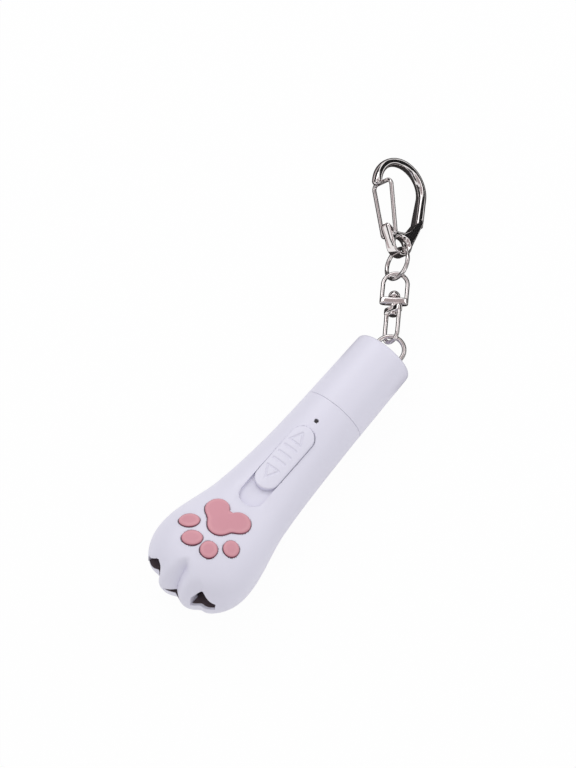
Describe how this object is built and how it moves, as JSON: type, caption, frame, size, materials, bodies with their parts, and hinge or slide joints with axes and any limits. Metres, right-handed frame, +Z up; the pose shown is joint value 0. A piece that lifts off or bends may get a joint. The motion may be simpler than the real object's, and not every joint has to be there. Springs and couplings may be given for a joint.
{
  "type": "cat laser pointer",
  "caption": "Paw-shaped pet laser pointer with a slide switch, light outlets between the toes, a pull-off cap over a charging plug and a swivel snap hook on a key ring.",
  "frame": {"origin": "on the handle's axis, at the parting face between handle and cap, where the plug leaves the handle", "axes": "+X along the handle towards the cap and the plug's tip, +Z up through the paw's pads, +Y to the left of someone looking along +X; the lowest line of the handle is at Z = -11 mm"},
  "size_m": [0.1684, 0.0618, 0.0309],
  "materials": {
    "body_plastic": "satin moulded plastic",
    "neck_plastic": "satin moulded plastic",
    "pad_pink": "soft-touch matt",
    "dark_plastic": "matt moulded plastic",
    "smoke_plastic": "smoked clear plastic",
    "switch_plastic": "matt moulded plastic",
    "barrel_brass": "turned",
    "contact_brass": "gold flashed",
    "lens_glass": "polished",
    "diode_steel": "plated",
    "lamp_clear": "cast clear resin",
    "lamp_violet": "cast tinted resin",
    "lamp_chip": "chip lamp",
    "board_green": "solder mask",
    "battery_wrap": "pouch foil",
    "plug_steel": "nickel plated",
    "tongue_plastic": "moulded",
    "hook_nickel": "bright nickel plate"
  },
  "bodies": {
    "pointer": {"upper_shell": "body_plastic", "lower_shell": "body_plastic", "paw_pads": "pad_pink", "indicator_pipe": "smoke_plastic", "outlet_trim": "dark_plastic", "emitter_holder": "dark_plastic", "laser_barrel": "barrel_brass", "laser_lens": "lens_glass", "laser_diode": "diode_steel", "white_lamp": "lamp_clear", "violet_lamp": "lamp_violet", "circuit_board": "board_green", "switch_body": "switch_plastic", "charge_lamp": "lamp_chip", "battery": "battery_wrap", "plug_collar": "neck_plastic", "plug_shell": "plug_steel", "plug_tongue": "tongue_plastic", "plug_contacts": "contact_brass"},
    "slider": {"slide_knob": "body_plastic", "switch_lever": "dark_plastic"},
    "cap": {"cap": "body_plastic"},
    "key_ring": {"key_ring": "hook_nickel"},
    "swivel_loop": {"swivel_loop": "hook_nickel", "swivel_pin": "hook_nickel"},
    "swivel_shackle": {"swivel_shackle": "hook_nickel"},
    "jump_ring": {"jump_ring": "hook_nickel"},
    "hook": {"snap_hook": "hook_nickel"},
    "gate": {"hook_gate": "hook_nickel"}
  },
  "joints": [
    {"name": "switch_slide", "type": "slide", "parent": "pointer", "child": "slider", "axis": [-1, 0, 0], "range_m": [0, 0.0075]},
    {"name": "cap_pull", "type": "slide", "parent": "pointer", "child": "cap", "axis": [1, 0, 0], "range_m": [0, 0.025]},
    {"name": "ring_swing", "type": "hinge", "parent": "cap", "child": "key_ring", "pos_m": [0.0261, 0, 0], "axis": [0, 0, 1], "range_deg": [-25, 25]},
    {"name": "loop_swing", "type": "hinge", "parent": "key_ring", "child": "swivel_loop", "pos_m": [0.03286, 0.00269, 0], "axis": [-0.5664, 0.8241, 0], "range_deg": [-35, 35]},
    {"name": "swivel_spin", "type": "hinge", "parent": "swivel_loop", "child": "swivel_shackle", "pos_m": [0.04231, 0.00918, -0.0009], "axis": [0.8216, 0.5647, -0.0785], "continuous": true},
    {"name": "jump_ring_swing", "type": "hinge", "parent": "swivel_shackle", "child": "jump_ring", "pos_m": [0.05172, 0.01565, -0.0018], "axis": [-0.5664, 0.8241, 0], "range_deg": [-30, 30]},
    {"name": "hook_swing", "type": "hinge", "parent": "jump_ring", "child": "hook", "pos_m": [0.05903, 0.02067, -0.0025], "axis": [-0.4271, 0.5184, -0.7409], "range_deg": [-30, 30]},
    {"name": "gate_open", "type": "hinge", "parent": "hook", "child": "gate", "pos_m": [0.06041, 0.0255, 0.00008], "axis": [-0.4271, 0.5184, -0.7409], "range_deg": [0, 25], "stiffness_Nm_per_rad": 0.05, "springref_deg": -5.73}
  ]
}
